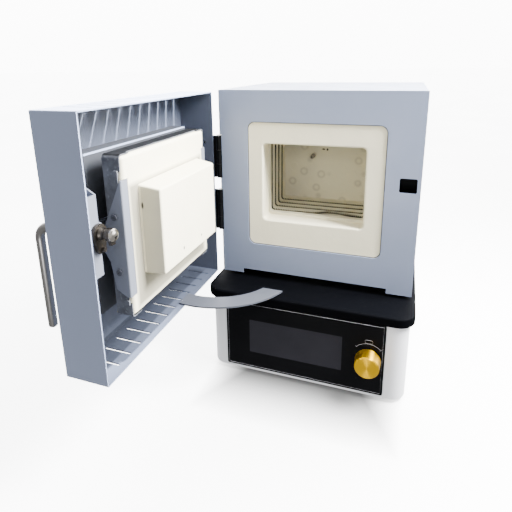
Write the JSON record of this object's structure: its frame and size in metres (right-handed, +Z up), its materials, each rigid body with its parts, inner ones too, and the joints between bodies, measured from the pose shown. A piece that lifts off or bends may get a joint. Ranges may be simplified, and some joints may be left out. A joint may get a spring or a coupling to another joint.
{
  "type": "dental glazing furnace",
  "caption": "Benchtop glazing furnace with a square ceramic chamber, side-hinged insulated door with a latch handle, and a base with a black glass panel and round knob.",
  "frame": {"origin": "centre of the underside of the whole object's bounding box with the door open, at the height of the feet's faces", "axes": "+Z up, +Y from the chamber's mouth into the furnace, +X to the right as seen from the front"},
  "size_m": [0.324, 0.4588, 0.354],
  "materials": {
    "blue_grey_paint": "satin",
    "white_paint": "satin",
    "black_paint": "satin",
    "pale_steel": "satin",
    "refractory": "matte",
    "fibre": "matte",
    "grey_sheet": "matte",
    "zinc_steel": "satin",
    "wire": "matte",
    "stainless": "satin",
    "cam_steel": "satin",
    "chrome": "polished",
    "black_metal": "matte",
    "black_glass": "polished",
    "display": "gloss",
    "black_plastic": "matte",
    "gold": "satin",
    "rubber": "matte",
    "board": "satin",
    "brass": "satin",
    "aluminium": "satin",
    "lead_cover": "matte"
  },
  "bodies": {
    "furnace": {"front_panel": "blue_grey_paint", "body_casing": "blue_grey_paint", "body_floor": "zinc_steel", "support_rails": "black_metal", "rear_cover": "blue_grey_paint", "body_screws": "zinc_steel", "ceramic_collar": "refractory", "chamber_muffle": "refractory", "chamber_back": "refractory", "heating_wire": "wire", "insulation_jacket": "fibre", "rear_board": "fibre", "thermocouple": "refractory", "terminal_block": "refractory", "catch_box": "black_plastic", "door_sensor": "black_plastic", "body_hinge_leaves": "black_metal", "hinge_pins": "zinc_steel", "base_top_plate": "black_paint", "base_housing": "white_paint", "base_pan": "black_metal", "feet": "rubber", "glass_panel": "black_glass", "display_window": "display", "display_module": "black_plastic", "controller_board": "board", "board_standoffs": "brass", "encoder_body": "black_plastic", "heat_sink": "aluminium", "solid_state_relay": "black_plastic", "power_supply": "board", "supply_leads": "lead_cover", "wire_grommet": "rubber", "inlet_socket": "black_plastic", "mains_switch_frame": "black_plastic", "fuse_holder": "black_plastic"},
    "push_cap": {"encoder_plunger": "black_plastic"},
    "knob": {"encoder_stem": "zinc_steel", "control_knob": "gold"},
    "rocker": {"mains_switch_rocker": "black_plastic"},
    "door": {"door_tray": "blue_grey_paint", "door_liner": "pale_steel", "door_insulation": "fibre", "arc_bar": "pale_steel", "door_hinge_leaves": "black_metal", "door_hinge_screws": "zinc_steel", "pivot_lugs": "pale_steel", "latch_bush": "zinc_steel", "latch_bracket": "pale_steel"},
    "plug": {"carrier_pan": "grey_sheet", "plug_block": "refractory", "carrier_arms": "pale_steel", "arm_screws": "zinc_steel", "pivot_pins": "zinc_steel", "corner_clips": "black_metal"},
    "latch": {"handle_rod": "stainless", "latch_cam": "cam_steel", "latch_spacer": "cam_steel", "latch_nose": "cam_steel", "dome_nut": "chrome"}
  },
  "joints": [
    {"name": "door_hinge", "type": "hinge", "parent": "furnace", "child": "door", "pos_m": [-0.0848, 0.0092, 0.235], "axis": [0, 0, 1], "range_deg": [-20, 90]},
    {"name": "plug_tilt", "type": "hinge", "parent": "door", "child": "plug", "pos_m": [-0.111, -0.1116, 0.235], "axis": [0, 1, 0], "range_deg": [-0.5, 0.5]},
    {"name": "latch_turn", "type": "hinge", "parent": "door", "child": "latch", "pos_m": [-0.083, -0.2159, 0.251], "axis": [1, 0, 0], "range_deg": [0, 90]},
    {"name": "knob_push", "type": "slide", "parent": "furnace", "child": "push_cap", "axis": [0, 1, 0], "range_m": [0, 0.0008], "stiffness_N_per_m": 1500, "springref_m": -0.0005},
    {"name": "knob_turn", "type": "hinge", "parent": "push_cap", "child": "knob", "pos_m": [0.1143, -0.0426, 0.055], "axis": [0, -1, 0], "continuous": true},
    {"name": "mains_switch", "type": "hinge", "parent": "furnace", "child": "rocker", "pos_m": [0.027, 0.2239, 0.053], "axis": [0, 0, 1], "range_deg": [-16, 0]}
  ]
}
